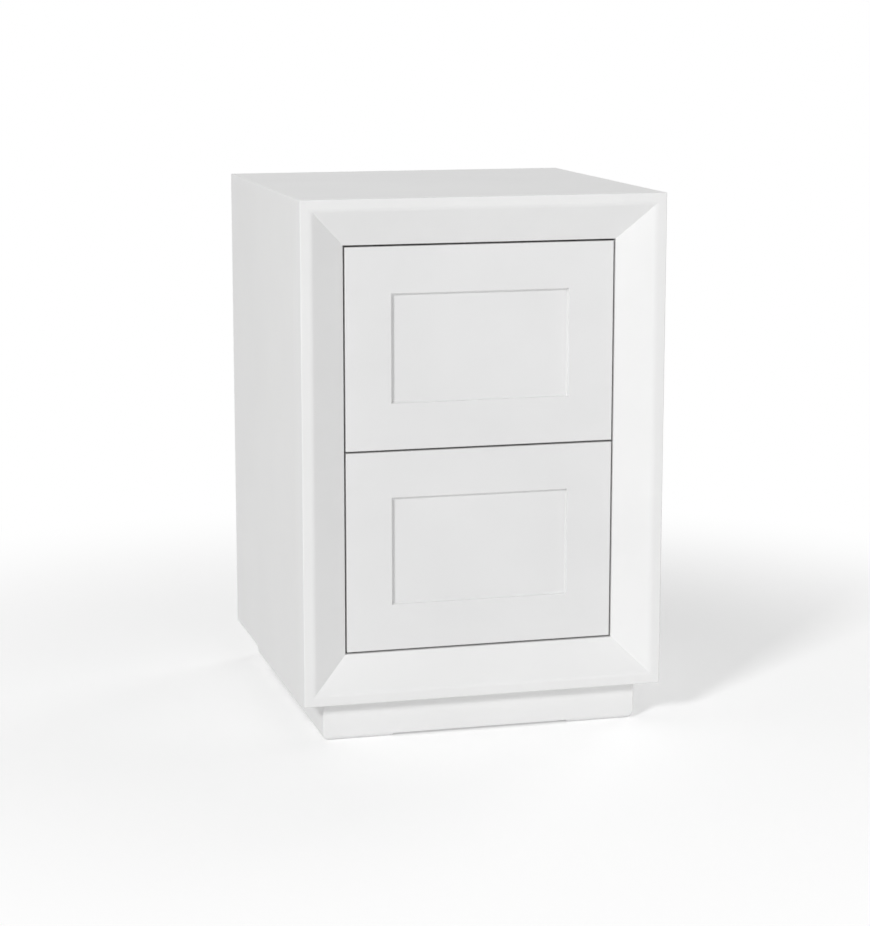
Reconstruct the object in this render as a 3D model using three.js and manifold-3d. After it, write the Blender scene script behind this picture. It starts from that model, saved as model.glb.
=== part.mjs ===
// A white lacquered filing cabinet with two push-to-open drawers, as an assembly of its real pieces.
//
// The carcass is a box of boards with a mitred, bevelled face frame glued to its front, and it stands
// on a set-back plinth. Each drawer has a routed front screwed to a box that takes hanging files, runs
// on a pair of telescopic ball runners, and is held shut by a push latch on the back panel.
//
// Units are millimetres. +Z is up, the drawers open towards -Y, and the origin is on the floor under
// the middle of the cabinet.
import * as THREE from "three";
import { mergeVertices } from "three/addons/utils/BufferGeometryUtils.js";
import Module from "manifold-3d";

const wasm = await Module();
wasm.setup();

// ---- Driving dimensions -------------------------------------------------------------------------

// Outer box
const width = 480;
const depth = 475;
const bodyHeight = 648;
const plinthHeight = 52;

// Carcass boards
const boardThickness = 18;
const backThickness = 9;
const glueLine = 0.1;

// Face frame: a flat band, then a slope in to the drawer fronts
const frameWidth = 60;
const flatWidth = 14;
const bevelDepth = 26;

// Plinth
const plinthSideSetback = 29;
const plinthFrontSetback = 20;
const footLength = 90;
const footRelief = 4;
const cornerBlockWidth = 36;

// Drawer fronts, from the bottom up
const drawerLabels = ["lower_drawer", "upper_drawer"];
const frontThickness = 20;
const frontGap = 2.5;
const recessBorder = 60;
const recessDepth = 5.5;
const coveSteps = 8;

// Drawer boxes
const boxSideThickness = 12;
const boxBottomThickness = 6;
const latchRoom = 40;
const boxDropAtTop = 8;
const boxRiseAtBottom = 6;
const grooveDepth = 6;
const grooveHeight = 6;
const grooveClearance = 0.25;

// Rails for hanging files, across the box
const railInset = 13;
const railThickness = 2;
const railHeight = 12;
const hookDrop = 14;
const hookClearance = 0.3;

// Telescopic runners
const runnerSpace = 13;
const runnerSetback = 5;
const runnerHeight = 45;
const runnerRise = 82;
const steelThickness = 1.25;
const boxSideClearance = 2.5;
const webClearance = 0.75;
const flangeTipClearance = 1.25;
const outerBallRace = 4;
const innerBallRace = 3.5;
const ballClearance = 0.3;
const ballTrackWidth = 5;
const ballTrackLength = 150;
const packerHeight = 80;

// Push latches on the back panel
const latchBoreRadius = 5;
const latchWall = 3;
const latchFlangeWidth = 6;
const latchStroke = 3;
const latchReveal = 1;
const plungerClearance = 0.3;
const springRoom = 12.5;
const springWireRadius = 0.6;
const springTurns = 5;
const springStepsPerTurn = 12;
const springSides = 6;

// Screws that hold each front to its box
const screwSpacing = 180;
const screwShankRadius = 2;
const screwHeadRadius = 4.5;
const screwHeadHeight = 2.5;
const screwCover = 3.5;
const screwHoleClearance = 0.3;

// Smoothness of round pieces, and how far a cutter stands out of what it cuts
const roundSides = 24;
const cutterOverrun = 5;

// ---- Planes and spans that follow from them -----------------------------------------------------

const left = -width / 2;
const right = width / 2;
const front = -depth / 2;
const back = depth / 2;
const bodyBottom = plinthHeight;
const bodyTop = plinthHeight + bodyHeight;

const frameDepth = bevelDepth + frontThickness;
const frameBack = front + frameDepth;
const carcassFront = frameBack + glueLine;
const backFace = back - backThickness;
const innerHalfWidth = width / 2 - boardThickness;

const openingHalfWidth = width / 2 - frameWidth;
const openingBottom = bodyBottom + frameWidth;
const openingHeight = bodyHeight - 2 * frameWidth;
const frontWidth = 2 * (openingHalfWidth - frontGap);
const frontHeight = (openingHeight - frontGap) / drawerLabels.length - frontGap;

const boxHalfWidth = openingHalfWidth - runnerSpace;
const boxInnerHalfWidth = boxHalfWidth - boxSideThickness;
const boxFront = frameBack;
const boxBack = backFace - latchRoom;
const boxBase = boxRiseAtBottom;
const boxRim = frontHeight - boxDropAtTop;
const boxFloor = boxBase + grooveHeight + boxBottomThickness;

const latchHeight = (boxBase + boxRim) / 2;
const screwHeight = (boxFloor + boxRim) / 2;

// ---- Materials ----------------------------------------------------------------------------------

const lacquer = new THREE.MeshStandardMaterial({ color: 0xececec, roughness: 0.45, metalness: 0 });
const rawBoard = new THREE.MeshStandardMaterial({ color: 0xc9b697, roughness: 0.8, metalness: 0 });
const birchPly = new THREE.MeshStandardMaterial({ color: 0xe3d2b0, roughness: 0.6, metalness: 0 });
const zincSteel = new THREE.MeshStandardMaterial({ color: 0xb9bcc0, roughness: 0.35, metalness: 1 });
const greyNylon = new THREE.MeshStandardMaterial({ color: 0x8d9094, roughness: 0.5, metalness: 0 });

// ---- Geometry helpers ---------------------------------------------------------------------------

function mesh(name, geometry, material) {
  const made = new THREE.Mesh(geometry, material);
  made.name = name;
  return made;
}

function groupOf(...members) {
  const group = new THREE.Group();
  group.add(...members);
  return group;
}

// A box between its lowest and highest corners. Boxes that meet share the exact coordinates of the
// face between them.
function block(low, high) {
  const geometry = new THREE.BoxGeometry(1, 1, 1);
  const corners = geometry.attributes.position;
  for (let i = 0; i < corners.count; i++) {
    corners.setXYZ(
      i,
      corners.getX(i) < 0 ? low[0] : high[0],
      corners.getY(i) < 0 ? low[1] : high[1],
      corners.getZ(i) < 0 ? low[2] : high[2],
    );
  }
  return geometry;
}

function outline(points) {
  return new THREE.Shape(points.map(([x, y]) => new THREE.Vector2(x, y)));
}

// A prism with exact end planes, along X, Y or Z. The outline's two coordinates are the other two
// axes in X, Y, Z order.
function prism(points, axis, from, to) {
  const geometry = new THREE.ExtrudeGeometry(outline(points), { depth: 1, bevelEnabled: false });
  const corners = geometry.attributes.position;
  for (let i = 0; i < corners.count; i++) {
    const place = [corners.getX(i), corners.getY(i)];
    place.splice("xyz".indexOf(axis), 0, corners.getZ(i) < 0.5 ? from : to);
    corners.setXYZ(i, ...place);
  }
  // Putting the extrusion along Y turns the faces inside out, so each triangle is read backwards.
  if (axis === "y") {
    geometry.setIndex([...Array(corners.count).keys()].reverse());
  }
  return geometry;
}

function solid(geometry) {
  const bare = geometry.index ? geometry.toNonIndexed() : geometry.clone();
  bare.deleteAttribute("normal");
  bare.deleteAttribute("uv");
  const merged = mergeVertices(bare);
  return new wasm.Manifold(
    new wasm.Mesh({
      numProp: 3,
      vertProperties: merged.attributes.position.array,
      triVerts: new Uint32Array(merged.index.array),
    }),
  );
}

function geometryOf(body) {
  const { vertProperties, triVerts } = body.getMesh();
  const geometry = new THREE.BufferGeometry();
  geometry.setAttribute("position", new THREE.BufferAttribute(vertProperties, 3));
  geometry.setIndex(new THREE.BufferAttribute(triVerts, 1));
  geometry.computeVertexNormals();
  return geometry;
}

function cut(geometry, ...cutters) {
  return geometryOf(cutters.reduce((rest, cutter) => rest.subtract(solid(cutter)), solid(geometry)));
}

function join(...geometries) {
  return geometryOf(geometries.map(solid).reduce((whole, next) => whole.add(next)));
}

// A round bar or hole along Y, from one plane to another.
function roundAlongY(radius, from, to, x, z) {
  const geometry = new THREE.CylinderGeometry(radius, radius, to - from, roundSides);
  return geometry.translate(x, (from + to) / 2, z);
}

// ---- Carcass ------------------------------------------------------------------------------------

// The side boards run from the underside of the top to the plinth. A rebate along the back edge
// holds the back panel.
function sidePanel(name, side) {
  const points = [
    [side * (width / 2), carcassFront],
    [side * (width / 2), back],
    [side * (innerHalfWidth + backThickness), back],
    [side * (innerHalfWidth + backThickness), backFace],
    [side * innerHalfWidth, backFace],
    [side * innerHalfWidth, carcassFront],
  ];
  return mesh(name, prism(points, "z", bodyBottom, bodyTop - boardThickness), lacquer);
}

// The top board covers the sides, and its rebate stops short of both ends.
function topPanel() {
  const underside = bodyTop - boardThickness;
  const board = block([left, carcassFront, underside], [right, back, bodyTop]);
  const rebateHalfWidth = innerHalfWidth + backThickness;
  const rebate = block(
    [-rebateHalfWidth, backFace, underside - cutterOverrun],
    [rebateHalfWidth, back + cutterOverrun, underside + backThickness],
  );
  return mesh("top_panel", cut(board, rebate), lacquer);
}

function bottomPanel() {
  const low = [-innerHalfWidth, carcassFront, bodyBottom];
  const high = [innerHalfWidth, backFace, bodyBottom + boardThickness];
  return mesh("bottom_panel", block(low, high), lacquer);
}

function backPanel() {
  const halfWidth = innerHalfWidth + backThickness;
  const top = bodyTop - boardThickness + backThickness;
  return mesh("back_panel", block([-halfWidth, backFace, bodyBottom], [halfWidth, back, top]), lacquer);
}

// One mitred length of the face frame, made as the top rail: it runs along X, its front is at y = 0
// and its outer edge at z = 0. Turning it about Y makes the other three.
function frameMember(name, length, turn, x, z) {
  const section = outline([
    [0, 0],
    [flatWidth, 0],
    [frameWidth, bevelDepth],
    [frameWidth, frameDepth],
    [0, frameDepth],
  ]);
  const geometry = new THREE.ExtrudeGeometry(section, { depth: 1, bevelEnabled: false });
  const corners = geometry.attributes.position;
  for (let i = 0; i < corners.count; i++) {
    const inset = corners.getX(i);
    const reach = length / 2 - inset - glueLine;
    corners.setXYZ(i, corners.getZ(i) < 0.5 ? -reach : reach, corners.getY(i), -inset);
  }
  const member = mesh(name, geometry, lacquer);
  member.rotation.y = turn;
  member.position.set(x, front, z);
  return member;
}

function faceFrame() {
  const middle = (bodyBottom + bodyTop) / 2;
  return groupOf(
    frameMember("face_frame_top_rail", width, 0, 0, bodyTop),
    frameMember("face_frame_bottom_rail", width, Math.PI, 0, bodyBottom),
    frameMember("face_frame_left_stile", bodyHeight, -Math.PI / 2, left, middle),
    frameMember("face_frame_right_stile", bodyHeight, Math.PI / 2, right, middle),
  );
}

// ---- Plinth -------------------------------------------------------------------------------------

// The lower edge of a plinth board: feet at both ends, and a shallow relief between them.
function plinthOutline(from, to, firstFootEnd, lastFootStart) {
  const top = bodyBottom - glueLine;
  return [
    [from, 0],
    [firstFootEnd, 0],
    [firstFootEnd + footRelief, footRelief],
    [lastFootStart - footRelief, footRelief],
    [lastFootStart, 0],
    [to, 0],
    [to, top],
    [from, top],
  ];
}

function plinth() {
  const halfWidth = width / 2 - plinthSideSetback;
  const plinthFront = front + plinthFrontSetback;
  const across = plinthOutline(-halfWidth, halfWidth, footLength - halfWidth, halfWidth - footLength);
  const sideFrom = plinthFront + boardThickness;
  const sideTo = back - boardThickness;
  const along = plinthOutline(sideFrom, sideTo, plinthFront + footLength, back - footLength);
  const inner = halfWidth - boardThickness;
  const group = groupOf(
    mesh("plinth_front", prism(across, "y", plinthFront, sideFrom), lacquer),
    mesh("plinth_back", prism(across, "y", sideTo, back), lacquer),
    mesh("plinth_left", prism(along, "x", -halfWidth, -inner), lacquer),
    mesh("plinth_right", prism(along, "x", inner, halfWidth), lacquer),
  );
  // A glued block in each corner carries the carcass straight down to the floor.
  for (const [depthName, y] of [["front", sideFrom], ["back", sideTo - cornerBlockWidth]]) {
    for (const [sideName, x] of [["left", -inner], ["right", inner - cornerBlockWidth]]) {
      const high = [x + cornerBlockWidth, y + cornerBlockWidth, bodyBottom - glueLine];
      group.add(mesh(`plinth_block_${depthName}_${sideName}`, block([x, y, 0], high), rawBoard));
    }
  }
  return group;
}

// ---- Telescopic runners -------------------------------------------------------------------------

const runnerFront = frameBack + runnerSetback;
const runnerBack = boxBack;

// A channel in rolled strip: a web, and two flanges that reach away from it. The distances are
// measured from the packer's face, and side is -1 or 1 for the left or right of the cabinet.
function channel(side, webFrom, webTo, tip, halfHeight, from, to) {
  const lip = halfHeight - steelThickness;
  const points = [
    [webFrom, -halfHeight],
    [tip, -halfHeight],
    [tip, -lip],
    [webTo, -lip],
    [webTo, lip],
    [tip, lip],
    [tip, halfHeight],
    [webFrom, halfHeight],
  ];
  const placed = points.map(([out, z]) => [side * (openingHalfWidth - out), z]);
  return prism(placed, "y", from, to);
}

const carriageHalfHeight = runnerHeight / 2 - steelThickness - outerBallRace;
const drawerMemberHalfHeight = carriageHalfHeight - steelThickness - innerBallRace;
const carriageWeb = steelThickness + webClearance;
const carriageTip = runnerSpace - carriageWeb;

function cabinetMember(name, side) {
  const tip = runnerSpace - boxSideClearance;
  const shape = channel(
    side, 0, steelThickness, tip, runnerHeight / 2, runnerFront, runnerBack);
  return mesh(name, shape, zincSteel);
}

function drawerMember(name, side) {
  const web = runnerSpace - steelThickness;
  const tip = carriageWeb + steelThickness + flangeTipClearance;
  const shape = channel(
    side, runnerSpace, web, tip, drawerMemberHalfHeight, runnerFront, runnerBack);
  return mesh(name, shape, zincSteel);
}

// A row of balls in its cage, as the bar that the row fills between two flanges.
function ballTrack(side, near, far, from, to) {
  const middle = openingHalfWidth - (carriageWeb + carriageTip) / 2;
  const ends = [side * (middle - ballTrackWidth / 2), side * (middle + ballTrackWidth / 2)];
  const [low, high] = ends.sort((a, b) => a - b);
  return block([low, from, near], [high, to, far]);
}

// The carriage runs between the other two members and goes half as far as the drawer. The rows of
// balls outside it stay near its back end and those inside it near its front end, where they still
// hold both neighbours when the drawer is fully out.
function carriage(name, side) {
  const webEnd = carriageWeb + steelThickness;
  const strip = channel(
    side, carriageWeb, webEnd, carriageTip, carriageHalfHeight, runnerFront, runnerBack);
  const outside = [
    carriageHalfHeight - steelThickness / 2,
    runnerHeight / 2 - steelThickness - ballClearance,
  ];
  const inside = [
    drawerMemberHalfHeight + ballClearance,
    carriageHalfHeight - steelThickness / 2,
  ];
  const tracks = [];
  for (const [[near, far], from, to] of [
    [outside, runnerBack - ballTrackLength, runnerBack],
    [inside, runnerFront, runnerFront + ballTrackLength],
  ]) {
    tracks.push(ballTrack(side, near, far, from, to));
    tracks.push(ballTrack(side, -far, -near, from, to));
  }
  return mesh(name, join(strip, ...tracks), zincSteel);
}

// A batten that brings the side of the carcass in line with the edge of the opening.
function packer(name, side) {
  const [low, high] = [side * openingHalfWidth, side * innerHalfWidth].sort((a, b) => a - b);
  return mesh(
    name,
    block(
      [low, carcassFront, -packerHeight / 2],
      [high, backFace, packerHeight / 2],
    ),
    rawBoard,
  );
}

// ---- Push latch ---------------------------------------------------------------------------------

// A lathe profile is turned about Y here: each point is a radius and a distance in front of the back
// panel, which carries the latch.
function turned(profile) {
  const points = profile.map(([radius, out]) => new THREE.Vector2(radius, out));
  return new THREE.LatheGeometry(points, roundSides).rotateX(Math.PI);
}

const latchTubeRadius = latchBoreRadius + latchWall;
const latchFlangeRadius = latchTubeRadius + latchFlangeWidth;
const plungerTip = latchRoom - plungerClearance;
const plungerEnd = latchWall + springRoom;
const latchMouth = plungerTip - latchStroke - latchReveal;

function latchHousing(name) {
  const shape = turned([
    [0, glueLine],
    [latchFlangeRadius, glueLine],
    [latchFlangeRadius, latchWall],
    [latchTubeRadius, latchWall],
    [latchTubeRadius, latchMouth],
    [latchBoreRadius, latchMouth],
    [latchBoreRadius, latchWall],
    [0, latchWall],
  ]);
  return mesh(name, shape, greyNylon);
}

function latchPlunger(name) {
  const radius = latchBoreRadius - plungerClearance;
  const shape = turned([
    [0, plungerEnd],
    [radius, plungerEnd],
    [radius, plungerTip],
    [0, plungerTip],
  ]);
  return mesh(name, shape, greyNylon);
}

// The coil that pushes the plunger out.
class SpringLine extends THREE.Curve {
  getPoint(t, target = new THREE.Vector3()) {
    const radius = latchBoreRadius - plungerClearance - springWireRadius;
    const from = latchWall + plungerClearance + springWireRadius;
    const to = plungerEnd - plungerClearance - springWireRadius;
    const angle = 2 * Math.PI * springTurns * t;
    return target.set(radius * Math.cos(angle), -from - (to - from) * t, radius * Math.sin(angle));
  }
}

function latchSpring(name) {
  const wire = outline(
    Array.from({ length: springSides }, (_, i) => {
      const angle = (2 * Math.PI * i) / springSides;
      return [springWireRadius * Math.cos(angle), springWireRadius * Math.sin(angle)];
    }),
  );
  const shape = new THREE.ExtrudeGeometry(wire, {
    steps: springTurns * springStepsPerTurn,
    extrudePath: new SpringLine(),
  });
  return mesh(name, shape, zincSteel);
}

// ---- Drawer -------------------------------------------------------------------------------------

const screwPlaces = [-screwSpacing / 2, screwSpacing / 2];
const screwDepth = frontThickness - recessDepth - screwCover;

// The front is one board with a recessed panel. The step down to the panel is a quarter-round cove
// that meets in sharp mitred corners.
function drawerFront(name) {
  const face = frameBack - frontThickness;
  const board = block([-frontWidth / 2, face, 0], [frontWidth / 2, frameBack, frontHeight]);
  const halfWidth = frontWidth / 2 - recessBorder - recessDepth;
  const low = recessBorder + recessDepth;
  const high = frontHeight - low;
  const recess = new THREE.ExtrudeGeometry(
    outline([[-halfWidth, low], [halfWidth, low], [halfWidth, high], [-halfWidth, high]]),
    {
      depth: cutterOverrun,
      bevelThickness: recessDepth,
      bevelSize: recessDepth,
      bevelSegments: coveSteps,
    },
  );
  recess.rotateX(Math.PI / 2).translate(0, face, 0);
  const holes = screwPlaces.map((x) => screwHole(x, frameBack - screwDepth, frameBack + cutterOverrun));
  return mesh(name, cut(board, recess, ...holes), lacquer);
}

function screwHole(x, from, to) {
  const radius = screwShankRadius + screwHoleClearance;
  return roundAlongY(radius, from - screwHoleClearance, to, x, screwHeight);
}

function frontScrew(name, x) {
  const seat = boxFront + boxSideThickness + glueLine;
  const tip = frameBack - screwDepth - seat;
  const points = [
    [0, tip],
    [screwShankRadius, tip],
    [screwShankRadius, 0],
    [screwHeadRadius, 0],
    [screwHeadRadius, screwHeadHeight],
    [0, screwHeadHeight],
  ].map(([radius, along]) => new THREE.Vector2(radius, along));
  const screw = mesh(name, new THREE.LatheGeometry(points, roundSides), zincSteel);
  screw.position.set(x, seat, screwHeight);
  return screw;
}

// The side of a drawer box, with the groove that carries the bottom.
function boxSide(name, side) {
  const outer = side * boxHalfWidth;
  const inner = side * boxInnerHalfWidth;
  const grooveEnd = side * (boxInnerHalfWidth + grooveDepth + grooveClearance);
  const grooveBottom = boxBase + grooveHeight;
  const grooveTop = boxFloor + grooveClearance;
  const points = [
    [outer, boxBase],
    [inner, boxBase],
    [inner, grooveBottom],
    [grooveEnd, grooveBottom],
    [grooveEnd, grooveTop],
    [inner, grooveTop],
    [inner, boxRim],
    [outer, boxRim],
  ];
  return mesh(name, prism(points, "y", boxFront, boxBack), birchPly);
}

function boxBottom(name) {
  const halfWidth = boxInnerHalfWidth + grooveDepth;
  const low = [-halfWidth, boxFront, boxBase + grooveHeight];
  return mesh(name, block(low, [halfWidth, boxBack, boxFloor]), birchPly);
}

// The two cross boards stand on the bottom, between the sides.
function boxFrontBoard(name) {
  const board = block(
    [-boxInnerHalfWidth, boxFront, boxFloor],
    [boxInnerHalfWidth, boxFront + boxSideThickness, boxRim],
  );
  const holes = screwPlaces.map((x) =>
    screwHole(x, boxFront - cutterOverrun, boxFront + boxSideThickness + cutterOverrun),
  );
  return mesh(name, cut(board, ...holes), birchPly);
}

function boxBackBoard(name) {
  const low = [-boxInnerHalfWidth, boxBack - boxSideThickness, boxFloor];
  return mesh(name, block(low, [boxInnerHalfWidth, boxBack, boxRim]), birchPly);
}

// A steel strip on edge, whose ends hook over the two box sides. Hanging files rest on it.
function fileRail(name, middle) {
  const inside = boxInnerHalfWidth - hookClearance;
  const outside = boxHalfWidth + hookClearance;
  const top = boxRim + railThickness;
  const points = [
    [-inside, boxRim - railHeight],
    [inside, boxRim - railHeight],
    [inside, boxRim],
    [outside, boxRim],
    [outside, boxRim - hookDrop],
    [outside + railThickness, boxRim - hookDrop],
    [outside + railThickness, top],
    [-outside - railThickness, top],
    [-outside - railThickness, boxRim - hookDrop],
    [-outside, boxRim - hookDrop],
    [-outside, boxRim],
    [-inside, boxRim],
  ];
  return mesh(name, prism(points, "y", middle - railThickness / 2, middle + railThickness / 2), zincSteel);
}

// Everything that belongs to one drawer, in a group whose origin is the lower edge of its front.
function drawerUnit(label) {
  const unit = groupOf(
    drawerFront(`${label}_front`),
    boxSide(`${label}_box_left`, -1),
    boxSide(`${label}_box_right`, 1),
    boxFrontBoard(`${label}_box_front`),
    boxBackBoard(`${label}_box_back`),
    boxBottom(`${label}_box_bottom`),
    fileRail(`${label}_file_rail_front`, boxFront + boxSideThickness + railInset),
    fileRail(`${label}_file_rail_back`, boxBack - boxSideThickness - railInset),
    frontScrew(`${label}_front_screw_left`, screwPlaces[0]),
    frontScrew(`${label}_front_screw_right`, screwPlaces[1]),
  );
  const runners = new THREE.Group();
  for (const [sideName, side] of [["left", -1], ["right", 1]]) {
    runners.add(
      packer(`${label}_packer_${sideName}`, side),
      cabinetMember(`${label}_cabinet_member_${sideName}`, side),
      carriage(`${label}_carriage_${sideName}`, side),
      drawerMember(`${label}_drawer_member_${sideName}`, side),
    );
  }
  runners.position.z = runnerRise;
  const latch = groupOf(
    latchHousing(`${label}_latch_housing`),
    latchSpring(`${label}_latch_spring`),
    latchPlunger(`${label}_latch_plunger`),
  );
  latch.position.set(0, backFace, latchHeight);
  unit.add(runners, latch);
  return unit;
}

// ---- Assembly -----------------------------------------------------------------------------------

const cabinet = groupOf(
  topPanel(),
  bottomPanel(),
  sidePanel("side_panel_left", -1),
  sidePanel("side_panel_right", 1),
  backPanel(),
  faceFrame(),
  plinth(),
);

drawerLabels.forEach((label, i) => {
  const unit = drawerUnit(label);
  unit.position.z = openingBottom + frontGap + i * (frontHeight + frontGap);
  cabinet.add(unit);
});

export default cabinet;
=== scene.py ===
"""A white lacquered filing cabinet with two push-to-open drawers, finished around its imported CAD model.

Lengths are in metres, in the frame of the CAD model: +Z up, the drawers open towards -Y, and the origin
is on the floor under the middle of the cabinet.
"""
import math

import bmesh
import bpy
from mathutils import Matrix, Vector


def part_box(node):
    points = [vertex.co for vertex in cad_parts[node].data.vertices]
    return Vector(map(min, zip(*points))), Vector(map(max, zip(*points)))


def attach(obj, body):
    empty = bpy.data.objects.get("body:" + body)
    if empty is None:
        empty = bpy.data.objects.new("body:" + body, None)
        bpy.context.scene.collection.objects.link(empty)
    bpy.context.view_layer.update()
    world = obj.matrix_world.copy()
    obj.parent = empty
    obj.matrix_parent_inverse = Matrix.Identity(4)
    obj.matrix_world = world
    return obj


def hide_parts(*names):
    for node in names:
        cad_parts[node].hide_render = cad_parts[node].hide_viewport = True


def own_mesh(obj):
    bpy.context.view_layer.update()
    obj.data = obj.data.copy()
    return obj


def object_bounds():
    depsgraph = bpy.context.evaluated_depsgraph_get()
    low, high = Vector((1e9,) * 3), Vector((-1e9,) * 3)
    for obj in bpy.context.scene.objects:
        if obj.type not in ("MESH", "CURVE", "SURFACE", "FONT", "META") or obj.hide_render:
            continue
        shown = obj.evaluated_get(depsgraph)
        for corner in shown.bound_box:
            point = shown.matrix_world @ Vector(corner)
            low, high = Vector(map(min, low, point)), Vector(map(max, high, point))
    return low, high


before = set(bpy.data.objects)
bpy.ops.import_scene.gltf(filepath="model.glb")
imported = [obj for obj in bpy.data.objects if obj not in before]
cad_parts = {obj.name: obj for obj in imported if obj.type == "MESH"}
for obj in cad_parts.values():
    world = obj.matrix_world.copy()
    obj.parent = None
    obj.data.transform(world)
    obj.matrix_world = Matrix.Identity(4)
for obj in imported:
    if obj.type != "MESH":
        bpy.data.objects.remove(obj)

cad_bounds = [list(corner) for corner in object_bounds()]
scene = bpy.context.scene
MM = 0.001

# ---- Camera -------------------------------------------------------------------------------------
# A long lens at hip height, to the left of the cabinet and looking slightly down, so that the top and
# the left side both show.

camera_data = bpy.data.cameras.new("camera")
camera_data.sensor_width = 36
camera_data.lens = 97.5
camera_data.clip_end = 50
camera = bpy.data.objects.new("camera", camera_data)
camera.location = (-0.867, -3.270, 0.952)
camera.rotation_euler = (math.radians(90 - 10.64), 0, math.radians(-14.77))
scene.collection.objects.link(camera)
scene.camera = camera

# ---- Face frame ---------------------------------------------------------------------------------
# Four mitred lengths of moulded fibreboard, glued round the front of the carcass. A flat band runs
# round the outside, then a wide slope leads in to the drawer fronts. The whole outside is filled,
# sanded and sprayed as one, so the joints don't show.


def linear(hex_colour):
    """An sRGB colour such as 'ececec' as linear red, green, blue and alpha."""
    channels = [int(hex_colour[i:i + 2], 16) / 255 for i in (0, 2, 4)]
    curve = [c / 12.92 if c <= 0.04045 else ((c + 0.055) / 1.055) ** 2.4 for c in channels]
    return (*curve, 1)


def add(tree, kind, inputs=None, **settings):
    """Adds a shader node. An input given as another node's socket is linked, any other is its value."""
    node = tree.nodes.new("ShaderNode" + kind)
    for name, value in settings.items():
        setattr(node, name, value)
    for socket, value in (inputs or {}).items():
        if isinstance(value, bpy.types.NodeSocket):
            tree.links.new(value, node.inputs[socket])
        else:
            node.inputs[socket].default_value = value
    return node


def new_material(name):
    material = bpy.data.materials.new(name)
    material.use_nodes = True
    return material, material.node_tree, material.node_tree.nodes["Principled BSDF"]


def two_toned(tree, pattern, low_hex, high_hex, low=0.3, high=0.7):
    """A colour that drifts from one tone to another as the pattern rises from low to high."""
    share = add(tree, "MapRange", {"Value": pattern, "From Min": low, "From Max": high})
    return add(tree, "Mix", {
        "Factor": share.outputs["Result"], 6: linear(low_hex), 7: linear(high_hex),
    }, data_type="RGBA").outputs[2]


def rubbed(tree, colour, worn_hex, most=0.35):
    """The colour with its sharp outer edges rubbed towards another, as handling and sanding leave them.
    most is the share of the worn colour on the sharpest."""
    flat, sharp = 0.52, 0.62
    corner = add(tree, "NewGeometry").outputs["Pointiness"]
    worn = add(tree, "MapRange", {
        "Value": corner, "From Min": flat, "From Max": sharp, "To Max": most,
    })
    return add(tree, "Mix", {
        "Factor": worn.outputs["Result"], 6: colour, 7: linear(worn_hex),
    }, data_type="RGBA").outputs[2]


def finish(tree, shader, colour, sheen, smooth, rough, relief, depth, strength=0.35):
    """Gives a shader its colour, a roughness that follows the sheen pattern from smooth to rough, and a
    surface relief. depth is the relief in metres."""
    tree.links.new(colour, shader.inputs["Base Color"])
    roughness = add(tree, "MapRange", {"Value": sheen, "To Min": smooth, "To Max": rough})
    tree.links.new(roughness.outputs["Result"], shader.inputs["Roughness"])
    bump = add(tree, "Bump", {"Height": relief, "Strength": strength, "Distance": depth})
    tree.links.new(bump.outputs["Normal"], shader.inputs["Normal"])


def satin_white_lacquer(name, thin_hex, full_hex):
    """Two-pack polyurethane lacquer on fibreboard, sprayed and left as it dries. It gives a soft, even
    sheen with a faint orange peel, a slightly uneven film, and a thinner, greyer coat on the arrises."""
    material, tree, shader = new_material(name)
    place = add(tree, "TexCoord").outputs["Object"]
    # The film is built up in passes of the gun about 150 mm apart.
    film = add(tree, "TexNoise", {"Vector": place, "Scale": 1 / (150 * MM), "Detail": 3}).outputs["Fac"]
    colour = rubbed(tree, two_toned(tree, film, thin_hex, full_hex), "e4e4e2")
    # Orange peel: cells about 2 mm across and a few thousandths of a millimetre deep. They're drawn
    # 3 mm across and deeper, so that they show.
    peel = add(tree, "TexNoise", {"Vector": place, "Scale": 1 / (3 * MM), "Detail": 2}).outputs["Fac"]
    finish(tree, shader, colour, film, 0.40, 0.48, peel, 0.02 * MM)
    shader.inputs["IOR"].default_value = 1.5
    return material


white_lacquer = satin_white_lacquer("satin_white_lacquer_on_the_carcass", "ececec", "f0f0f0")

SHARPEST_SMOOTH_TURN = math.radians(32)


def finished_piece(name, shape, material):
    """Turns a bmesh into an object. Eased edges shade smoothly and the flats beside them stay flat."""
    bmesh.ops.recalc_face_normals(shape, faces=shape.faces)
    mesh = bpy.data.meshes.new(name)
    shape.to_mesh(mesh)
    shape.free()
    mesh.materials.append(material)
    mesh.shade_smooth()
    mesh.set_sharp_from_angle(angle=SHARPEST_SMOOTH_TURN)
    piece = bpy.data.objects.new(name, mesh)
    scene.collection.objects.link(piece)
    flats = piece.modifiers.new("flats_stay_flat", "WEIGHTED_NORMAL")
    flats.keep_sharp = True
    flats.weight = 100
    return piece


def stands_for(piece, body, node):
    """The piece rides on a body, in place of a CAD node, which is hidden."""
    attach(piece, body)
    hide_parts(node)


def skin(shape, loops):
    """Joins each loop of corners to the next by a band of faces."""
    for one, other in zip(loops, loops[1:]):
        for k in range(len(one)):
            n = (k + 1) % len(one)
            shape.faces.new((one[k], one[n], other[n], other[k]))


def near(a, b):
    return abs(a - b) < 0.01 * MM


def ease(shape, chosen, radius, steps):
    """Rounds the edges for which chosen(one end, other end) is true. radius is the width taken off
    each face."""
    edges = [e for e in shape.edges if chosen(e.verts[0].co, e.verts[1].co)]
    bmesh.ops.bevel(
        shape, geom=edges, offset=radius, offset_type="OFFSET", segments=steps, profile=0.5,
        affect="EDGES", clamp_overlap=True,
    )


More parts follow.
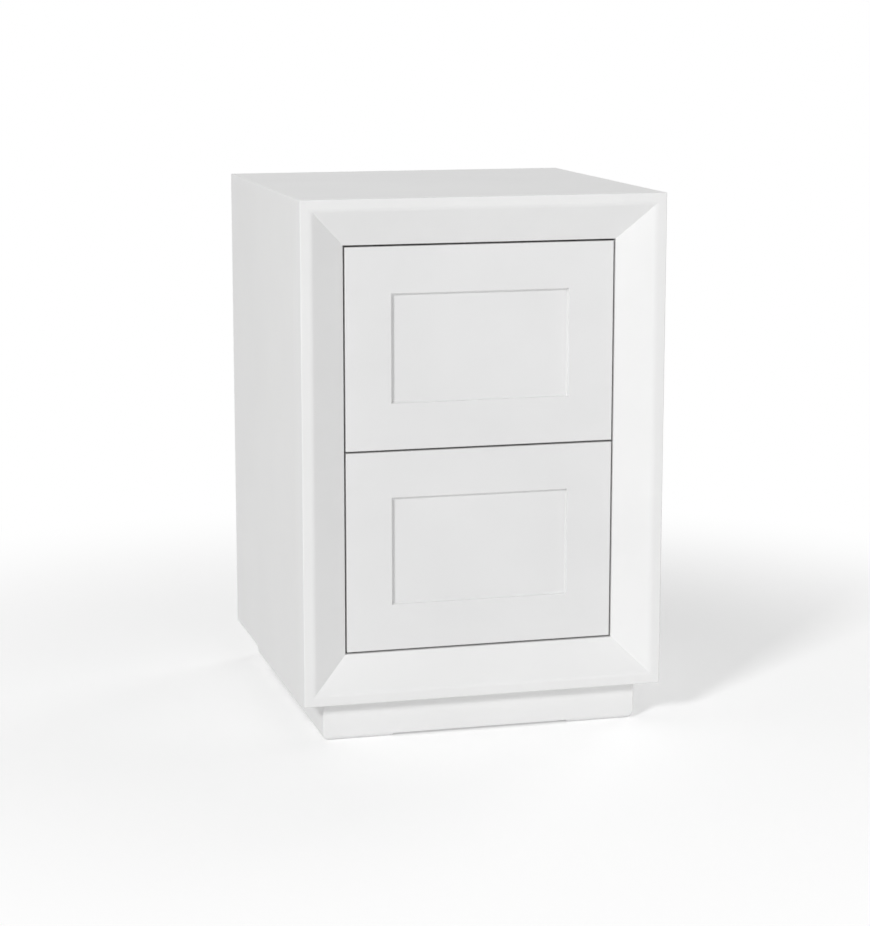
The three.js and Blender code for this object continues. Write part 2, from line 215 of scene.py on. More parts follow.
rail_low, rail_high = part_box("face_frame_bottom_rail")
frame_front, frame_back = rail_low.y, rail_high.y
frame_width = rail_high.z - rail_low.z
frame_bottom, frame_top = rail_low.z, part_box("face_frame_top_rail")[1].z
frame_middle = (frame_bottom + frame_top) / 2
frame_half_height = (frame_top - frame_bottom) / 2
frame_half_width = cad_bounds[1][0]
flat_band = 14 * MM
slope_depth = 26 * MM
arris_radius, ARRIS_STEPS = 1.6 * MM, 5
slope_rounding, SLOPE_STEPS = 3.2 * MM, 6
inner_rounding, INNER_STEPS = 0.7 * MM, 3


def inset(point):
    """How far a point lies in from the outer edge of the frame."""
    return min(frame_half_width - abs(point.x), frame_half_height - abs(point.z - frame_middle))


def both_inset(a, b, distance):
    return near(inset(a), distance) and near(inset(b), distance)


section = [
    (0, frame_back),
    (0, frame_front),
    (flat_band, frame_front),
    (frame_width, frame_front + slope_depth),
    (frame_width, frame_back),
]
ring = bmesh.new()
corners = []
for across, up in ((-1, -1), (1, -1), (1, 1), (-1, 1)):
    corners.append([
        ring.verts.new((across * (frame_half_width - i), y, frame_middle + up * (frame_half_height - i)))
        for i, y in section
    ])
skin(ring, [*corners, corners[0]])
bmesh.ops.recalc_face_normals(ring, faces=ring.faces)
ease(ring, lambda a, b: both_inset(a, b, 0)
     and not (near(a.y, frame_back) and near(b.y, frame_back)), arris_radius, ARRIS_STEPS)
ease(ring, lambda a, b: both_inset(a, b, flat_band), slope_rounding, SLOPE_STEPS)
ease(ring, lambda a, b: both_inset(a, b, frame_width) and near(a.y, b.y)
     and a.y < frame_back - MM, inner_rounding, INNER_STEPS)


def mitred_length(name, outward):
    """Cuts one side out of the ring along its two mitres."""
    shape = ring.copy()
    across = Vector((outward.z, 0, -outward.x))
    middle = Vector((frame_half_width * outward.x, 0, frame_middle + frame_half_height * outward.z))
    half_length = frame_half_width if outward.z else frame_half_height
    for side in (-1, 1):
        bmesh.ops.bisect_plane(
            shape, geom=[*shape.verts, *shape.edges, *shape.faces], dist=0.001 * MM,
            plane_co=middle + side * across * half_length, plane_no=side * across - outward,
            clear_outer=True,
        )
        cut_edges = [e for e in shape.edges if e.is_boundary]
        bmesh.ops.holes_fill(shape, edges=cut_edges, sides=0)
    return finished_piece(name, shape, white_lacquer)


for name, outward in (
    ("top_rail", Vector((0, 0, 1))),
    ("bottom_rail", Vector((0, 0, -1))),
    ("left_stile", Vector((-1, 0, 0))),
    ("right_stile", Vector((1, 0, 0))),
):
    length = mitred_length(f"lacquered_{name}", outward)
    stands_for(length, "cabinet", f"face_frame_{name}")
ring.free()

# ---- Carcass boards -----------------------------------------------------------------------------
# The top and the two sides are 18 mm fibreboard, flush with the face frame and lacquered with it. Their
# back edges are rebated for the back panel, and every outer arris is rubbed round before spraying.


def add_box(shape, low, high):
    made = bmesh.ops.create_cube(shape, size=1)
    for vertex in made["verts"]:
        vertex.co = [high[i] if vertex.co[i] > 0 else low[i] for i in range(3)]


def board(low, high):
    shape = bmesh.new()
    add_box(shape, low, high)
    return shape


def rebated(piece, low, high):
    """Cuts the box between two corners out of a finished piece."""
    cutter = finished_piece("cutter", board(low, high), white_lacquer)
    cut = piece.modifiers.new("cut", "BOOLEAN")
    cut.object = cutter
    cut.solver = "EXACT"
    bpy.context.view_layer.update()
    cut_mesh = bpy.data.meshes.new_from_object(
        piece.evaluated_get(bpy.context.evaluated_depsgraph_get()))
    piece.modifiers.remove(cut)
    piece.data = cut_mesh
    piece.data.set_sharp_from_angle(angle=SHARPEST_SMOOTH_TURN)
    bpy.data.objects.remove(cutter)
    return piece


back_low, back_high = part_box("back_panel")

low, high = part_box("top_panel")
low.y = frame_back
shape = board(low, high)
ease(shape, lambda a, b: (near(a.z, high.z) and near(b.z, high.z)
     and not (near(a.y, low.y) and near(b.y, low.y)))
     or (near(a.y, high.y) and near(b.y, high.y) and near(a.x, b.x)), arris_radius, ARRIS_STEPS)
top = finished_piece("lacquered_top_board", shape, white_lacquer)
top = rebated(top, (back_low.x, back_low.y, low.z - MM), (back_high.x, high.y + MM, back_high.z))
stands_for(top, "cabinet", "top_panel")

for side, sign in (("left", -1), ("right", 1)):
    low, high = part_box(f"side_panel_{side}")
    low.y = frame_back
    outer = sign * frame_half_width
    shape = board(low, high)
    ease(shape, lambda a, b: near(a.x, outer) and near(b.x, outer)
         and (near(a.y, high.y) and near(b.y, high.y) or near(a.z, low.z) and near(b.z, low.z)),
         arris_radius, ARRIS_STEPS)
    panel = finished_piece(f"lacquered_{side}_side_board", shape, white_lacquer)
    panel = rebated(
        panel, (back_low.x, back_low.y, low.z - MM), (back_high.x, high.y + MM, high.z + MM))
    stands_for(panel, "cabinet", f"side_panel_{side}")

# The bottom and the back panel are plain boards, glued in. Their cut edges are broken by one stroke of
# the paper.


def break_edges(node, width, material):
    """Keeps a CAD node's shape, and breaks its edges by a small chamfer."""
    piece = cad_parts[node]
    weld = piece.modifiers.new("weld", "WELD")
    weld.merge_threshold = 0.01 * MM
    chamfer = piece.modifiers.new("broken_edges", "BEVEL")
    chamfer.width = width
    chamfer.segments = 2
    chamfer.limit_method = "ANGLE"
    chamfer.angle_limit = math.radians(40)
    chamfer.harden_normals = True
    piece.data.materials.clear()
    piece.data.materials.append(material)


papered_edge = 0.4 * MM

for node in ("bottom_panel", "back_panel"):
    break_edges(node, papered_edge, white_lacquer)

# ---- Plinth -------------------------------------------------------------------------------------
# Four boards of the same fibreboard, set in under the carcass and lacquered with it. Their lower edge
# is cut back between the corners, so that the cabinet stands on four low feet, and the feet's edges are
# well rounded so that they don't scuff.

foot_length = 90 * MM
foot_relief = 4 * MM
foot_rounding = 7 * MM
relief_rounding = 0.8 * MM
plinth_arris = 1.4 * MM
ROUND_STEPS = 6
RELIEF_STEPS = 12


def quarter_turn(steps):
    """Angles in even steps from 0 to a right angle."""
    return [k / steps * math.pi / 2 for k in range(steps + 1)]


def fall_back(distance, radius):
    """How far a rounded corner has drawn back at a distance from its end."""
    if distance >= radius:
        return 0
    return radius - math.sqrt(radius ** 2 - (radius - distance) ** 2)


def rising(value, start, width):
    """Rises smoothly from 0 to 1 over a width."""
    t = min(max((value - start) / width, 0), 1)
    return t * t * (3 - 2 * t)


def plinth_board(name, start, end, along, outer, inner, feet, rounded_ends):
    """Runs from start to end along an axis, between its outer and inner face. feet are the two ends
    that the foot lengths are measured from."""
    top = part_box("plinth_front")[1].z
    towards_inside = 1 if inner > outer else -1
    stations = {start, end}
    if rounded_ends:
        for radius in (foot_rounding, plinth_arris):
            for turn in quarter_turn(ROUND_STEPS):
                step = radius * (1 - math.cos(turn))
                stations |= {start + step, end - step}
    for k in range(RELIEF_STEPS + 1):
        step = foot_length + foot_relief * k / RELIEF_STEPS
        stations |= {feet[0] + step, feet[1] - step}
    shape = bmesh.new()
    loops = []
    for s in sorted(stations):
        from_end = min(s - start, end - s) if rounded_ends else math.inf
        from_foot = min(s - feet[0], feet[1] - s)
        relief = rising(from_foot, foot_length, foot_relief)
        bottom = relief * foot_relief + fall_back(from_end, foot_rounding)
        face = outer + towards_inside * fall_back(from_end, plinth_arris)
        rounding = foot_rounding + (relief_rounding - foot_rounding) * relief
        section = [(inner, top), (face, top)]
        for turn in quarter_turn(ROUND_STEPS):
            section.append((face + towards_inside * rounding * (1 - math.cos(turn)),
                            bottom + rounding * (1 - math.sin(turn))))
        section.append((inner, bottom))
        points = [(s, d, z) if along == "x" else (d, s, z) for d, z in section]
        loops.append([shape.verts.new(p) for p in points])
    skin(shape, loops)
    shape.faces.new(loops[0])
    shape.faces.new(loops[-1])
    return finished_piece(name, shape, white_lacquer)


low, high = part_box("plinth_front")
plinth_left, plinth_right, plinth_front = low.x, high.x, low.y
plinth_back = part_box("plinth_back")[1].y
for side in ("front", "back", "left", "right"):
    name = f"lacquered_plinth_{side}"
    low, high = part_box(f"plinth_{side}")
    if side in ("front", "back"):
        outer, inner = (low.y, high.y) if side == "front" else (high.y, low.y)
        panel = plinth_board(name, low.x, high.x, "x", outer, inner, (plinth_left, plinth_right), True)
    else:
        outer, inner = (low.x, high.x) if side == "left" else (high.x, low.x)
        panel = plinth_board(name, low.y, high.y, "y", outer, inner, (plinth_front, plinth_back), False)
    stands_for(panel, "cabinet", f"plinth_{side}")

# Glue blocks of offcut board stand in the plinth's corners and carry the carcass down to the floor.


def raw_fibreboard():
    """Medium-density fibreboard as it comes off the saw. It gives a dull biscuit brown with fine,
    matted fibres and slightly furred edges."""
    material, tree, shader = new_material("sawn_raw_fibreboard")
    place = add(tree, "TexCoord").outputs["Object"]
    # The fibres are 2 to 3 mm long and a tenth of that wide, drawn as 1.5 mm flecks.
    fibres = add(tree, "TexNoise", {"Vector": place, "Scale": 1 / (1.5 * MM), "Detail": 4}).outputs["Fac"]
    # The mat of fibres is laid a little unevenly, in patches about 60 mm across.
    patches = add(tree, "TexNoise", {"Vector": place, "Scale": 1 / (60 * MM), "Detail": 2}).outputs["Fac"]
    speckled = add(tree, "Math", {0: fibres, 1: patches}, operation="MULTIPLY").outputs[0]
    colour = rubbed(tree, two_toned(tree, speckled, "a98a63", "c7ac84", 0.1, 0.4), "d3bd9a")
    finish(tree, shader, colour, fibres, 0.8, 0.95, fibres, 0.1 * MM, 0.5)
    return material


raw_board = raw_fibreboard()
sawn_edge = 0.8 * MM

for end in ("front", "back"):
    for side in ("left", "right"):
        break_edges(f"plinth_block_{end}_{side}", sawn_edge, raw_board)

# ---- Packers ------------------------------------------------------------------------------------
# Battens of the same raw board, screwed to the carcass sides to bring them out to the edge of the
# opening, so that the runners have something to hold to.

DRAWERS = ("lower_drawer", "upper_drawer")

for drawer in DRAWERS:
    for side in ("left", "right"):
        break_edges(f"{drawer}_packer_{side}", sawn_edge, raw_board)

# ---- Telescopic runners -------------------------------------------------------------------------
# Three channels of rolled, zinc-plated strip slide in each other on rows of steel balls, held apart in
# pressed cages. Countersunk screws fix the outer channel to its packer and the inner one to the box.


def zinc_plated_steel():
    """Cold-rolled strip, electroplated with zinc and passivated clear. It gives a cool grey metal with
    faint rolling lines along its length, a soft mottled bloom and brighter rubbed edges."""
    material, tree, shader = new_material("bright_zinc_plated_rolled_steel")
    place = add(tree, "TexCoord").outputs["Object"]
    # Rolling lines are hundredths of a millimetre wide. They're drawn 0.6 mm wide and 60 mm long.
    line_width, line_length = 0.6 * MM, 60 * MM
    stretched = add(tree, "VectorMath", {0: place, 1: (1 / line_width, 1 / line_length, 1 / line_width)},
                    operation="MULTIPLY").outputs[0]
    lines = add(tree, "TexNoise", {"Vector": stretched, "Scale": 1, "Detail": 3}).outputs["Fac"]
    # The passivate dries in a bloom of patches about 9 mm across.
    bloom = add(tree, "TexNoise", {"Vector": place, "Scale": 1 / (9 * MM), "Detail": 3}).outputs["Fac"]
    colour = rubbed(tree, two_toned(tree, bloom, "c0c4c8", "cbced1"), "e2e3e4", 0.6)
    finish(tree, shader, colour, lines, 0.24, 0.40, lines, 0.01 * MM, 0.3)
    shader.inputs["Metallic"].default_value = 1
    return material


zinc_steel = zinc_plated_steel()

strip_thickness = 1.25 * MM
bend_radius = 1.8 * MM
runner_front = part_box("lower_drawer_cabinet_member_left")[0].y
runner_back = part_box("lower_drawer_cabinet_member_left")[1].y
track_length = 150 * MM
BEND_STEPS = 5
HEAD_STEPS = 24


def add_channel(shape, side, web, tip, half_height, middle):
    """Adds a channel with rounded bends. side is -1 on the left and 1 on the right. web and tip are
    distances out from the middle plane of the cabinet, and the open side faces the tip."""
    reach = 1 if tip > web else -1
    inner_radius = bend_radius - strip_thickness
    upper = []
    for turn in quarter_turn(BEND_STEPS):
        upper.append((web + reach * bend_radius * (1 - math.cos(turn)),
                      half_height - bend_radius * (1 - math.sin(turn))))
    upper.append((tip, half_height))
    upper.append((tip, half_height - strip_thickness))
    for turn in reversed(quarter_turn(BEND_STEPS)):
        upper.append((web + reach * (bend_radius - inner_radius * math.cos(turn)),
                      half_height - bend_radius + inner_radius * math.sin(turn)))
    section = upper + [(x, -z) for x, z in reversed(upper)]
    ends = [
        [shape.verts.new((side * x, y, middle + z)) for x, z in section]
        for y in (runner_front, runner_back)
    ]
    skin(shape, ends)
    for end in ends:
        shape.faces.new(end)


def add_ball_row(shape, x, z, radius, start, end):
    """Adds a row of balls and the cage strip that holds them by their middles."""
    spacing = 10 * MM
    cage_half_width, cage_half_thickness = 2.4 * MM, 0.35 * MM
    add_box(shape, (x - cage_half_width, start, z - cage_half_thickness),
            (x + cage_half_width, end, z + cage_half_thickness))
    count = int((end - start) / spacing)
    for k in range(count):
        made = bmesh.ops.create_icosphere(shape, subdivisions=2, radius=radius)
        centre = Vector((x, start + (k + 0.5) * (end - start) / count, z))
        bmesh.ops.translate(shape, vec=centre, verts=made["verts"])


def full_turn(steps):
    """Angles in even steps round a circle."""
    return [2 * math.pi * k / steps for k in range(steps)]


def add_cross_head(shape, centre, outward, radius, rise):
    """Adds a screw head with a cross recess. It stands on centre and rises outward."""
    across = outward.orthogonal().normalized()
    up = outward.cross(across)
    # The domed side as shares of the radius and of the rise, from the seat up to the flat.
    dome = ((1, 0), (0.97, 0.45), (0.85, 0.8), (0.68, 1))
    rings = [
        [
            shape.verts.new(centre + outward * rise * height
                            + (across * math.cos(t) + up * math.sin(t)) * radius * size)
            for t in full_turn(HEAD_STEPS)
        ]
        for size, height in dome
    ]
    skin(shape, rings)
    # The cross as shares of the radius. It tapers towards its floor.
    arm_length, arm_width, arm_taper, recess_depth_share = 0.52, 0.13, 0.7, 0.8
    cross = []
    for ax, ay in ((1, 0), (0, 1), (-1, 0), (0, -1)):
        cross.append((ax * arm_length + ay * arm_width, ay * arm_length - ax * arm_width))
        cross.append((ax * arm_length - ay * arm_width, ay * arm_length + ax * arm_width))
        cross.append(((ax - ay) * arm_width, (ay + ax) * arm_width))
    levels = [
        [
            shape.verts.new(centre + outward * rise * height + (across * x + up * y) * radius * size)
            for x, y in cross
        ]
        for height, size in ((1, 1), (1 - recess_depth_share, arm_taper))
    ]
    skin(shape, levels)
    shape.faces.new(levels[1])
    rims = []
    for loop in (rings[-1], levels[0]):
        for k in range(len(loop)):
            rims.append(shape.edges.get((loop[k], loop[(k + 1) % len(loop)])))
    bmesh.ops.triangle_fill(shape, use_beauty=True, edges=rims, normal=outward)
    shape.faces.new(rings[0])


# The screws' places are distances from the front of the runner.
screw_places = (37 * MM, 165 * MM, 325 * MM)
countersunk_radius = 3.4 * MM
countersunk_rise = 0.4 * MM
outer_ball_radius = 1.85 * MM
inner_ball_radius = 1.6 * MM

for drawer in DRAWERS:
    for side, sign in (("left", -1), ("right", 1)):
        low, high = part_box(f"{drawer}_cabinet_member_{side}")
        middle = (low.z + high.z) / 2
        near_x, far_x = sorted((abs(low.x), abs(high.x)))
        outer = bmesh.new()
        add_channel(outer, sign, far_x, near_x, (high.z - low.z) / 2, middle)
        for place in screw_places:
            seat = Vector((sign * (far_x - strip_thickness), runner_front + place, middle))
            add_cross_head(outer, seat, Vector((-sign, 0, 0)), countersunk_radius, countersunk_rise)
        piece = finished_piece(f"rolled_{drawer}_cabinet_member_{side}", outer, zinc_steel)
        stands_for(piece, "cabinet", f"{drawer}_cabinet_member_{side}")

        low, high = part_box(f"{drawer}_drawer_member_{side}")
        near_x, far_x = sorted((abs(low.x), abs(high.x)))
        inner = bmesh.new()
        add_channel(inner, sign, near_x, far_x, (high.z - low.z) / 2, middle)
        for place in screw_places:
            seat = Vector((sign * (near_x + strip_thickness), runner_front + place, middle))
            add_cross_head(inner, seat, Vector((sign, 0, 0)), countersunk_radius, countersunk_rise)
        piece = finished_piece(f"rolled_{drawer}_drawer_member_{side}", inner, zinc_steel)
        stands_for(piece, drawer, f"{drawer}_drawer_member_{side}")

        low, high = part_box(f"{drawer}_carriage_{side}")
        near_x, far_x = sorted((abs(low.x), abs(high.x)))
        track_x = sign * (near_x + far_x) / 2
        carriage_half_height = (high.z - low.z) / 2 - 2 * outer_ball_radius
        carriage = bmesh.new()
        add_channel(carriage, sign, far_x, near_x, carriage_half_height, middle)
        for up in (-1, 1):
            outside = carriage_half_height + outer_ball_radius
            add_ball_row(carriage, track_x, middle + up * outside, outer_ball_radius,
                         runner_back - track_length, runner_back)
            inside = carriage_half_height - strip_thickness - inner_ball_radius
            add_ball_row(carriage, track_x, middle + up * inside, inner_ball_radius,
                         runner_front, runner_front + track_length)
        piece = finished_piece(f"rolled_{drawer}_carriage_{side}", carriage, zinc_steel)
        stands_for(piece, f"{drawer}_carriages", f"{drawer}_carriage_{side}")

# ---- Push latches -------------------------------------------------------------------------------
# A moulded nylon tube screwed to the back panel behind each drawer. A spring in it drives a plunger
# against the back of the box, so that a push on the front lets the drawer out.


def moulded_nylon():
    """Injection-moulded nylon, coloured through, from a spark-eroded mould. It gives a fine matt grain,
    a mid grey that drifts a little with the flow, and paler scuffed rims."""
    material, tree, shader = new_material("moulded_grey_nylon")
    place = add(tree, "TexCoord").outputs["Object"]
    # The melt cools in swirls about 12 mm across.
    flow = add(tree, "TexNoise", {"Vector": place, "Scale": 1 / (12 * MM), "Detail": 2}).outputs["Fac"]
    # The mould's grain is 0.1 mm across, drawn 0.5 mm across.
    grain = add(tree, "TexNoise", {"Vector": place, "Scale": 1 / (0.5 * MM), "Detail": 2}).outputs["Fac"]
    colour = rubbed(tree, two_toned(tree, flow, "878a8e", "94979b"), "b4b6b8", 0.5)
    finish(tree, shader, colour, grain, 0.45, 0.6, grain, 0.03 * MM)
    shader.inputs["IOR"].default_value = 1.53
    return material


grey_nylon = moulded_nylon()
LATHE_STEPS = 48


def add_lathed(shape, x, z, profile):
    """Adds a closed solid turned about a line along Y. Each profile point is a radius and a y, and the
    first and the last lie on the line."""
    rings = []
    for radius, y in profile:
        turns = full_turn(LATHE_STEPS) if radius else [0]
        rings.append([
            shape.verts.new((x + radius * math.cos(t), y, z + radius * math.sin(t))) for t in turns
        ])
    for one, other in zip(rings, rings[1:]):
        if len(one) == len(other):
            skin(shape, (one, other))
            continue
        for k in range(LATHE_STEPS):
            n = (k + 1) % LATHE_STEPS
            if len(one) == 1:
                shape.faces.new((one[0], other[k], other[n]))
            else:
                shape.faces.new((one[k], one[n], other[0]))


def add_coil(shape, x, z, radius, start, end):
    """Adds a compression spring wound about a line along Y, with its end turns closed up."""
    wire_radius = 0.6 * MM
    turns, steps_per_turn, wire_sides = 5, 32, 12
    open_turns = turns - 2
    closed_pitch = 2.1 * wire_radius
    first = start + wire_radius
    open_pitch = (end - wire_radius - first - 2 * closed_pitch) / open_turns
    along = Vector((0, 1, 0))
    loops = []
    for k in range(turns * steps_per_turn + 1):
        turned = k / steps_per_turn
        opened = min(max(turned - 1, 0), open_turns)
        y = first + open_pitch * opened + closed_pitch * (turned - opened)
        outward = Vector((math.cos(2 * math.pi * turned), 0, math.sin(2 * math.pi * turned)))
        centre = Vector((x, y, z)) + (radius - wire_radius) * outward
        loops.append([
            shape.verts.new(centre + wire_radius * (math.cos(t) * outward + math.sin(t) * along))
            for t in full_turn(wire_sides)
        ])
    skin(shape, loops)
    shape.faces.new(loops[0])
    shape.faces.new(loops[-1])


tube_radius, bore_radius = 8 * MM, 5 * MM
flange_thickness = 2.9 * MM
# A sag is how far the middle point of a small rounding draws in from its corner.
tube_rim, rim_sag = 0.6 * MM, 0.18 * MM
flange_fillet, fillet_sag = 1.2 * MM, 0.35 * MM
flange_screw_offset, flange_screw_radius, flange_screw_rise = 11.2 * MM, 1.9 * MM, 0.6 * MM
plunger_dome, plunger_chamfer = 1.6 * MM, 0.4 * MM
DOME_STEPS = 6

for drawer in DRAWERS:
    low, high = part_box(f"{drawer}_latch_housing")
    x, z = (low.x + high.x) / 2, (low.z + high.z) / 2
    flange_radius = (high.x - low.x) / 2
    seat, flange_face, mouth = high.y, high.y - flange_thickness, low.y
    housing = bmesh.new()
    add_lathed(housing, x, z, [
        (0, seat),
        (flange_radius, seat),
        (flange_radius, flange_face + tube_rim),
        (flange_radius - rim_sag, flange_face + rim_sag),
        (flange_radius - tube_rim, flange_face),
        (tube_radius + flange_fillet, flange_face),
        (tube_radius + fillet_sag, flange_face - fillet_sag),
        (tube_radius, flange_face - flange_fillet),
        (tube_radius, mouth + tube_rim),
        (tube_radius - rim_sag, mouth + rim_sag),
        (tube_radius - tube_rim, mouth),
        (bore_radius + tube_rim, mouth),
        (bore_radius, mouth + tube_rim),
        (bore_radius, flange_face),
        (0, flange_face),
    ])
    for across in (-1, 1):
        screw_seat = Vector((x + across * flange_screw_offset, flange_face, z))
        add_cross_head(housing, screw_seat, Vector((0, -1, 0)), flange_screw_radius, flange_screw_rise)
    piece = finished_piece(f"moulded_{drawer}_latch_housing", housing, grey_nylon)
    stands_for(piece, "cabinet", f"{drawer}_latch_housing")

    low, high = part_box(f"{drawer}_latch_plunger")
    radius = (high.x - low.x) / 2
    profile = [(0, low.y)]
    for turn in quarter_turn(DOME_STEPS)[1:]:
        profile.append((radius - plunger_dome * (1 - math.sin(turn)),
                        low.y + plunger_dome * (1 - math.cos(turn))))
    profile += [(radius, high.y - plunger_chamfer), (radius - plunger_chamfer, high.y), (0, high.y)]
    plunger = bmesh.new()
    add_lathed(plunger, x, z, profile)
    piece = finished_piece(f"moulded_{drawer}_latch_plunger", plunger, grey_nylon)
    stands_for(piece, f"{drawer}_latch_plunger", f"{drawer}_latch_plunger")

    # The spring is wound from plated steel wire. In use, the press shortens it towards the back panel.
    low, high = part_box(f"{drawer}_latch_spring")
    coil = bmesh.new()
    add_coil(coil, x, z, (high.x - low.x) / 2, low.y, high.y)
    piece = finished_piece(f"wound_{drawer}_latch_spring", coil, zinc_steel)
    stands_for(piece, "cabinet", f"{drawer}_latch_spring")
    length = high.y - low.y
    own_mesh(piece)

# ---- Drawer boxes -------------------------------------------------------------------------------
# Birch plywood boards, varnished clear before they're glued up. The bottom slides into a groove, and
# every rim is sanded round where hands and files pass over it.


def birch_plywood(name, through, along):
    """Birch plywood under clear varnish. It gives a pale, straight-grained face with a low sheen, and
    cut edges striped where veneers of long and end grain alternate. through is the axis across the
    board's thickness and along the axis of its face grain."""
    material, tree, shader = new_material(name)
    coordinates = add(tree, "TexCoord")
    place = coordinates.outputs["Object"]
    # Growth lines are 2 to 4 mm apart and run the length of the board.
    stretch = [1 / (3 * MM)] * 3
    stretch[along] = 1 / (160 * MM)
    stretched = add(tree, "VectorMath", {0: place, 1: stretch}, operation="MULTIPLY").outputs[0]
    grain = add(tree, "TexNoise", {
        "Vector": stretched, "Scale": 1, "Detail": 4, "Roughness": 0.6, "Distortion": 0.3,
    }).outputs["Fac"]
    face = two_toned(tree, grain, "d8c299", "ecdcbb")
    # Each veneer is 1.4 mm thick, and every other one shows its darker end grain. The seams between
    # them are drawn 0.4 mm wide.
    veneer, seam = 1.4 * MM, 0.4 * MM
    depth = add(tree, "SeparateXYZ", {0: place}).outputs[through]
    pair = add(tree, "Math", {0: depth, 1: 2 * veneer}, operation="PINGPONG").outputs[0]
    plies = two_toned(tree, pair, "b3915f", "e3cfa6", veneer - seam / 2, veneer + seam / 2)
    normal = add(tree, "SeparateXYZ", {0: coordinates.outputs["Normal"]}).outputs[through]
    flat = add(tree, "Math", {0: normal}, operation="ABSOLUTE").outputs[0]
    on_face = add(tree, "MapRange", {"Value": flat, "From Min": 0.6, "From Max": 0.8}).outputs["Result"]
    mixed = add(tree, "Mix", {"Factor": on_face, 6: plies, 7: face}, data_type="RGBA").outputs[2]
    colour = rubbed(tree, mixed, "f0e4c8")
    finish(tree, shader, colour, grain, 0.34, 0.48, grain, 0.06 * MM, 0.3)
    shader.inputs["IOR"].default_value = 1.5
    return material


X, Y, Z = 0, 1, 2
side_ply = birch_plywood("varnished_birch_plywood_sides", X, Y)
cross_ply = birch_plywood("varnished_birch_plywood_cross_boards", Y, X)
bottom_ply = birch_plywood("varnished_birch_plywood_bottoms", Z, Y)

sanded_edge = 0.9 * MM

for drawer in DRAWERS:
    for board_name, ply in (
        ("left", side_ply), ("right", side_ply), ("front", cross_ply), ("back", cross_ply),
        ("bottom", bottom_ply),
    ):
        break_edges(f"{drawer}_box_{board_name}", sanded_edge, ply)

# ---- File rails ---------------------------------------------------------------------------------
# Strips of the same plated steel, folded and hooked over the sides of each box at its front and back.
# Hanging files slide on them, so their edges are deburred.

deburred_edge = 0.4 * MM

for drawer in DRAWERS:
    for end in ("front", "back"):
        break_edges(f"{drawer}_file_rail_{end}", deburred_edge, zinc_steel)

# ---- Front screws -------------------------------------------------------------------------------
# Plated steel pan-head screws, driven from inside through the front board of each box. They pull the
# drawer front up to it.

head_height = 2.5 * MM
shank_radius, root_radius = 2 * MM, 1.44 * MM
tip_radius, tip_length = 1 * MM, 1.5 * MM
thread_start, thread_pitch = 2 * MM, 1.6 * MM
plain_shank = 0.5 * MM
unthreaded_length = 3 * MM

for drawer in DRAWERS:
    for side in ("left", "right"):
        low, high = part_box(f"{drawer}_front_screw_{side}")
        x, z = (low.x + high.x) / 2, (low.z + high.z) / 2
        seat = high.y - head_height
        screw = bmesh.new()
        add_cross_head(screw, Vector((x, seat, z)), Vector((0, 1, 0)), (high.x - low.x) / 2, head_height)
        profile = [(0, low.y), (tip_radius, low.y + tip_length)]
        for k in range(int((seat - low.y - unthreaded_length) / thread_pitch)):
            y = low.y + thread_start + k * thread_pitch
            profile += [(root_radius, y), (shank_radius, y + 0.5 * thread_pitch)]
        profile += [(root_radius, seat - plain_shank), (root_radius, seat), (0, seat)]
        add_lathed(screw, x, z, profile)
        piece = finished_piece(f"pan_head_{drawer}_front_screw_{side}", screw, zinc_steel)
        stands_for(piece, drawer, f"{drawer}_front_screw_{side}")

# ---- Drawer fronts ------------------------------------------------------------------------------
# Each front is one 20 mm board. A panel is routed into its face, with an upright step down to it that
# ends in a small cove, and corners squared up by hand. Their lacquer is drawn a shade greyer than the
# carcass's, as painted shade for the fronts' place set back inside the face frame.

shaded_front_lacquer = satin_white_lacquer("satin_white_lacquer_on_the_drawer_fronts", "e4e4e4", "e8e8e8")
front_arris = 1.0 * MM
recess_border = 60 * MM
recess_depth = 5.5 * MM
recess_arris = 1.0 * MM
cove_radius = 3 * MM
FRONT_ARRIS_STEPS = 4
COVE_STEPS = 10

for drawer in DRAWERS:
    low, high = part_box(f"{drawer}_front")
    centre = (low + high) / 2
    half = (high - low) / 2
    # Each point is a setback from the edge of the front, and a y.
    profile = [(0, high.y)]
    for turn in quarter_turn(FRONT_ARRIS_STEPS):
        profile.append((front_arris * (1 - math.cos(turn)), low.y + front_arris * (1 - math.sin(turn))))
    for turn in quarter_turn(COVE_STEPS):
        profile.append((recess_border - recess_arris * (1 - math.sin(turn)),
                        low.y + recess_arris * (1 - math.cos(turn))))
    for turn in quarter_turn(COVE_STEPS):
        profile.append((recess_border + cove_radius * (1 - math.cos(turn)),
                        low.y + recess_depth - cove_radius * (1 - math.sin(turn))))
    shape = bmesh.new()
    loops = [
        [
            shape.verts.new((centre.x + across * (half.x - setback), y, centre.z + up * (half.z - setback)))
            for across, up in ((-1, -1), (1, -1), (1, 1), (-1, 1))
        ]
        for setback, y in profile
    ]
    skin(shape, loops)
    shape.faces.new(loops[0])
    shape.faces.new(loops[-1])
    front = finished_piece(f"lacquered_{drawer}_front", shape, shaded_front_lacquer)
    stands_for(front, drawer, f"{drawer}_front")

# ---- Studio -------------------------------------------------------------------------------------
# A matt white floor that keeps the cabinet's shadow and runs out into a white surround, and four large
# soft lamps.

floor_reach = 12
floor_shape = bmesh.new()
bmesh.ops.create_grid(floor_shape, x_segments=1, y_segments=1, size=floor_reach)
floor_material, floor_tree, floor_shader = new_material("matt_white_floor")
floor = finished_piece("floor", floor_shape, floor_material)
floor_shader.inputs["Base Color"].default_value = linear("f2f2f2")
floor_shader.inputs["Roughness"].default_value = 0.9
floor_shader.inputs["Specular IOR Level"].default_value = 0.0


